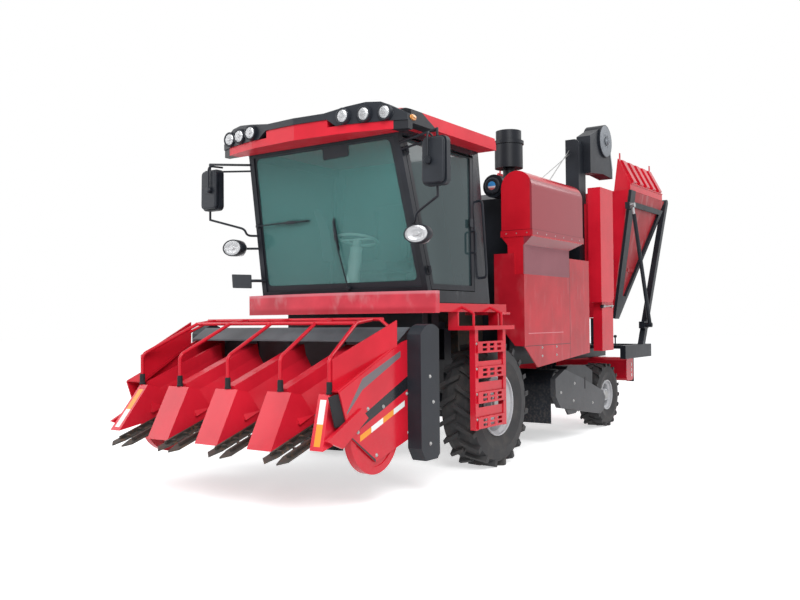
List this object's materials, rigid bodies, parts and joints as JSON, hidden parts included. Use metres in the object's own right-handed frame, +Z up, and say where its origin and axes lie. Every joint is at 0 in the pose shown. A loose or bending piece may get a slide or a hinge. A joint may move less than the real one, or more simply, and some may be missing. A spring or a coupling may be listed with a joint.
{
  "type": "corn harvester",
  "caption": "Self-propelled row-crop ear harvester with glazed cab, snouted row header on a lifting feeder, belly shredder, ear elevator and rear tipping bin.",
  "frame": {"origin": "ground under the middle of the machine's length and width", "axes": "+Z up, front of the machine towards -Y, the driver's left towards +X"},
  "size_m": [3.034, 8.8474, 4.108],
  "materials": {
    "red_paint": "gloss",
    "black_paint": "satin",
    "black_plastic": "satin",
    "grey_paint": "satin",
    "silver_paint": "satin",
    "steel": "brushed",
    "cast_iron": "rough",
    "tyre": "matte",
    "glass": "clear",
    "lamp": "clear",
    "upholstery": "matte"
  },
  "bodies": {
    "chassis": {"chassis_frame": "black_paint", "front_axle": "black_paint", "rear_axle": "black_paint", "rear_frame": "black_paint", "fuel_tank": "red_paint", "engine_block": "cast_iron", "husker_case": "black_paint", "side_panel_left": "red_paint", "side_panel_right": "red_paint", "air_screens": "grey_paint", "intake_box": "red_paint", "stacks": "black_plastic", "ear_elevator": "black_paint", "side_duct": "red_paint", "shredder_hood": "black_paint", "shredder_covers": "grey_paint", "cab_floor": "black_paint", "cab_front_frame": "black_paint", "cab_side_right": "black_paint", "cab_rear_wall": "black_paint", "cab_quarter_left": "black_paint", "cab_panes": "glass", "cab_roof": "red_paint", "roof_brow": "black_plastic", "lamps": "lamp", "mirrors": "black_plastic", "seat": "upholstery", "steering_column": "black_plastic", "front_cowl": "red_paint", "ladder": "red_paint"},
    "front_wheel_left": {"front_tyre_left": "tyre", "front_rim_left": "silver_paint"},
    "front_wheel_right": {"front_tyre_right": "tyre", "front_rim_right": "silver_paint"},
    "steer_left": {"knuckle_left": "cast_iron"},
    "steer_right": {"knuckle_right": "cast_iron"},
    "rear_wheel_left": {"rear_tyre_left": "tyre", "rear_rim_left": "silver_paint"},
    "rear_wheel_right": {"rear_tyre_right": "tyre", "rear_rim_right": "silver_paint"},
    "door": {"cab_door": "black_paint", "door_glass": "glass"},
    "header": {"header_sides": "red_paint", "header_trough": "grey_paint", "snouts": "red_paint", "row_units": "cast_iron", "guard_tubes": "red_paint", "drive_covers": "black_plastic", "feeder_house": "black_paint"},
    "auger": {"cross_auger": "steel"},
    "lift_barrel_pair": {"lift_barrels": "black_paint"},
    "lift_rod_pair": {"lift_rods": "steel"},
    "bin": {"bin_sides": "red_paint", "bin_ends": "red_paint", "bin_frame": "black_paint", "bin_top_panels": "red_paint"},
    "bin_barrel_pair": {"bin_barrels": "black_paint"},
    "bin_rod_pair": {"bin_rods": "steel"},
    "shredder": {"shredder_rotor": "black_paint"}
  },
  "joints": [
    {"name": "front_wheel_left_spin", "type": "hinge", "parent": "chassis", "child": "front_wheel_left", "pos_m": [1.028, -1.354, 0.632], "axis": [1, 0, 0], "continuous": true},
    {"name": "front_wheel_right_spin", "type": "hinge", "parent": "chassis", "child": "front_wheel_right", "pos_m": [-1.028, -1.354, 0.632], "axis": [1, 0, 0], "continuous": true},
    {"name": "steering", "type": "hinge", "parent": "chassis", "child": "steer_left", "pos_m": [0.6, 2.346, 0.438], "axis": [0, 0, 1], "range_deg": [-30, 30]},
    {"name": "steering_right", "type": "hinge", "parent": "chassis", "child": "steer_right", "pos_m": [-0.6, 2.346, 0.438], "axis": [0, 0, 1], "range_deg": [-30, 30]},
    {"name": "rear_wheel_left_spin", "type": "hinge", "parent": "steer_left", "child": "rear_wheel_left", "pos_m": [0.786, 2.346, 0.438], "axis": [1, 0, 0], "continuous": true},
    {"name": "rear_wheel_right_spin", "type": "hinge", "parent": "steer_right", "child": "rear_wheel_right", "pos_m": [-0.786, 2.346, 0.438], "axis": [1, 0, 0], "continuous": true},
    {"name": "door_hinge", "type": "hinge", "parent": "chassis", "child": "door", "pos_m": [1.06165, -2.42805, 1.93], "axis": [0.0738, 0.2108, -0.9748], "range_deg": [0, 75]},
    {"name": "header_lift", "type": "hinge", "parent": "chassis", "child": "header", "pos_m": [0, -1.154, 1.33], "axis": [1, 0, 0], "range_deg": [-8, 5.5]},
    {"name": "auger_spin", "type": "hinge", "parent": "header", "child": "auger", "pos_m": [0, -3.044, 0.79], "axis": [1, 0, 0], "continuous": true},
    {"name": "lift_barrel_swing", "type": "hinge", "parent": "chassis", "child": "lift_barrel_pair", "pos_m": [0, -1.544, 0.5], "axis": [1, 0, 0], "range_deg": [-11.04, 7.65]},
    {"name": "lift_rod_slide", "type": "slide", "parent": "lift_barrel_pair", "child": "lift_rod_pair", "axis": [0, -0.9999, 0.0104], "range_m": [-0.0833, 0.1202]},
    {"name": "bin_tip", "type": "hinge", "parent": "chassis", "child": "bin", "pos_m": [0, 4.376, 3.32], "axis": [-1, 0, 0], "range_deg": [0, 50]},
    {"name": "bin_barrel_swing", "type": "hinge", "parent": "chassis", "child": "bin_barrel_pair", "pos_m": [0, 3.256, 1.4], "axis": [1, 0, 0], "range_deg": [-16.97, 0.2]},
    {"name": "bin_rod_slide", "type": "slide", "parent": "bin_barrel_pair", "child": "bin_rod_pair", "axis": [0, -0.3638, 0.9315], "range_m": [-0.002, 1.3843]},
    {"name": "shredder_spin", "type": "hinge", "parent": "chassis", "child": "shredder", "pos_m": [0, 0.696, 0.54], "axis": [1, 0, 0], "continuous": true}
  ],
  "couplings": [
    {"joint": "steering_right", "follows": "steering", "ratio": 1},
    {"joint": "lift_barrel_swing", "follows": "header_lift", "ratio": 1.3545},
    {"joint": "lift_rod_slide", "follows": "header_lift", "m_per_rad": -0.8467},
    {"joint": "bin_barrel_swing", "follows": "bin_tip", "ratio": -0.33548},
    {"joint": "bin_rod_slide", "follows": "bin_tip", "m_per_rad": 1.584}
  ]
}
